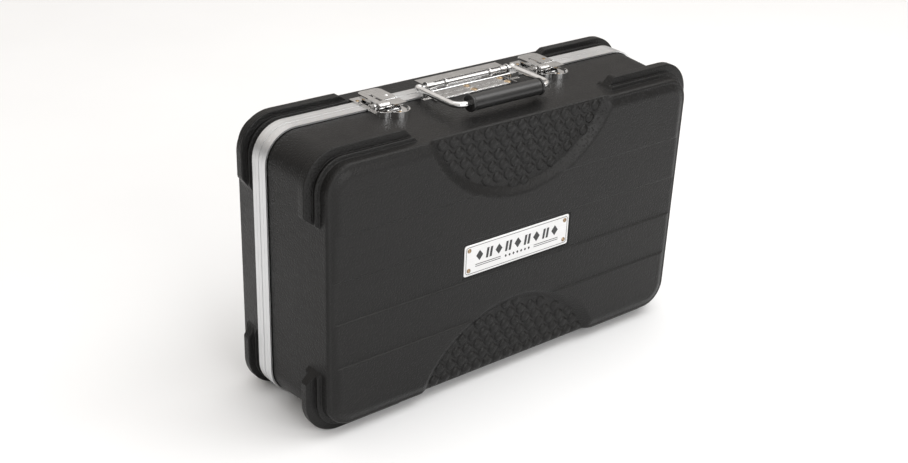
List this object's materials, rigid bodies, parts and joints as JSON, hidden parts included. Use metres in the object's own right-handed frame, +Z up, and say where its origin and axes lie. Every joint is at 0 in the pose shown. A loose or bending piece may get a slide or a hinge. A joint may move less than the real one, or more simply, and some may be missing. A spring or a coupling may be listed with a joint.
{
  "type": "pedalboard case",
  "caption": "Hard-shell case for a pedalboard, hinged in two halves with a metal frame, draw latches and a folding handle; a rail board lies inside.",
  "frame": {"origin": "centre of the closed case's footprint, on the surface it stands on", "axes": "+X along the long side, -Y out of the front (deep) half's panel, +Z up from the hinge side to the handle side"},
  "size_m": [0.5308, 0.166, 0.3347],
  "materials": {
    "shell_plastic": "fine moulded grain",
    "frame_aluminium": "satin, grooved",
    "chrome": "polished",
    "rivet_brass": "dull",
    "plate_metal": "satin with printed rules",
    "steel": "zinc plated",
    "grip_plastic": "satin",
    "foam": "open-cell foam",
    "board_aluminium": "black powder coat",
    "foot_rubber": "matt",
    "hook_fabric": "hook pile"
  },
  "bodies": {
    "lid_half": {"front_shell": "shell_plastic", "front_valance": "frame_aluminium", "nameplate": "plate_metal", "nameplate_rivets": "rivet_brass", "handle_base": "chrome", "handle_base_rivets": "rivet_brass", "latch_base_left": "chrome", "latch_base_right": "chrome", "latch_pin_left": "steel", "latch_pin_right": "steel", "latch_base_rivets": "rivet_brass", "hinge_leaf_front_left": "steel", "hinge_leaf_front_right": "steel", "hinge_pin_left": "steel", "hinge_pin_right": "steel", "hinge_rivets_front": "steel", "lid_foam": "foam"},
    "base_half": {"rear_shell": "shell_plastic", "rear_valance": "frame_aluminium", "keeper_left": "chrome", "keeper_right": "chrome", "keeper_rivets": "rivet_brass", "hinge_leaf_rear_left": "steel", "hinge_leaf_rear_right": "steel", "hinge_rivets_rear": "steel", "base_foam_ring": "foam", "base_foam_sheet": "foam", "board_rails": "board_aluminium", "board_side_left": "board_aluminium", "board_side_right": "board_aluminium", "board_feet": "foot_rubber", "board_screws": "steel", "hook_loop_strips": "hook_fabric"},
    "handle": {"handle_bail": "chrome", "handle_grip": "grip_plastic", "grip_end_caps": "grip_plastic"},
    "latch_lever_left": {"latch_lever_left": "chrome", "latch_link_pin_left": "steel"},
    "latch_lever_right": {"latch_lever_right": "chrome", "latch_link_pin_right": "steel"},
    "latch_hook_left": {"latch_hook_left": "chrome", "latch_hook_rivet_left": "chrome"},
    "latch_hook_right": {"latch_hook_right": "chrome", "latch_hook_rivet_right": "rivet_brass"}
  },
  "joints": [
    {"name": "case_hinge", "type": "hinge", "parent": "lid_half", "child": "base_half", "pos_m": [0, 0.028, 0.00515], "axis": [-1, 0, 0], "range_deg": [0, 100]},
    {"name": "handle_pivot", "type": "hinge", "parent": "lid_half", "child": "handle", "pos_m": [0, 0.0195, 0.3252], "axis": [-1, 0, 0], "range_deg": [0, 95]},
    {"name": "latch_left_lever", "type": "hinge", "parent": "lid_half", "child": "latch_lever_left", "pos_m": [-0.1115, 0.0104, 0.3201], "axis": [-1, 0, 0], "range_deg": [0, 100]},
    {"name": "latch_left_hook", "type": "hinge", "parent": "latch_lever_left", "child": "latch_hook_left", "pos_m": [-0.1115, 0.0049, 0.3218], "axis": [-1, 0, 0], "range_deg": [-130, 0]},
    {"name": "latch_right_lever", "type": "hinge", "parent": "lid_half", "child": "latch_lever_right", "pos_m": [0.1115, 0.0104, 0.3201], "axis": [-1, 0, 0], "range_deg": [0, 100]},
    {"name": "latch_right_hook", "type": "hinge", "parent": "latch_lever_right", "child": "latch_hook_right", "pos_m": [0.1115, 0.0049, 0.3218], "axis": [-1, 0, 0], "range_deg": [-130, 0]}
  ],
  "couplings": [
    {"joint": "latch_left_hook", "follows": "latch_left_lever", "ratio": -1.3},
    {"joint": "latch_right_hook", "follows": "latch_right_lever", "ratio": -1.3}
  ]
}
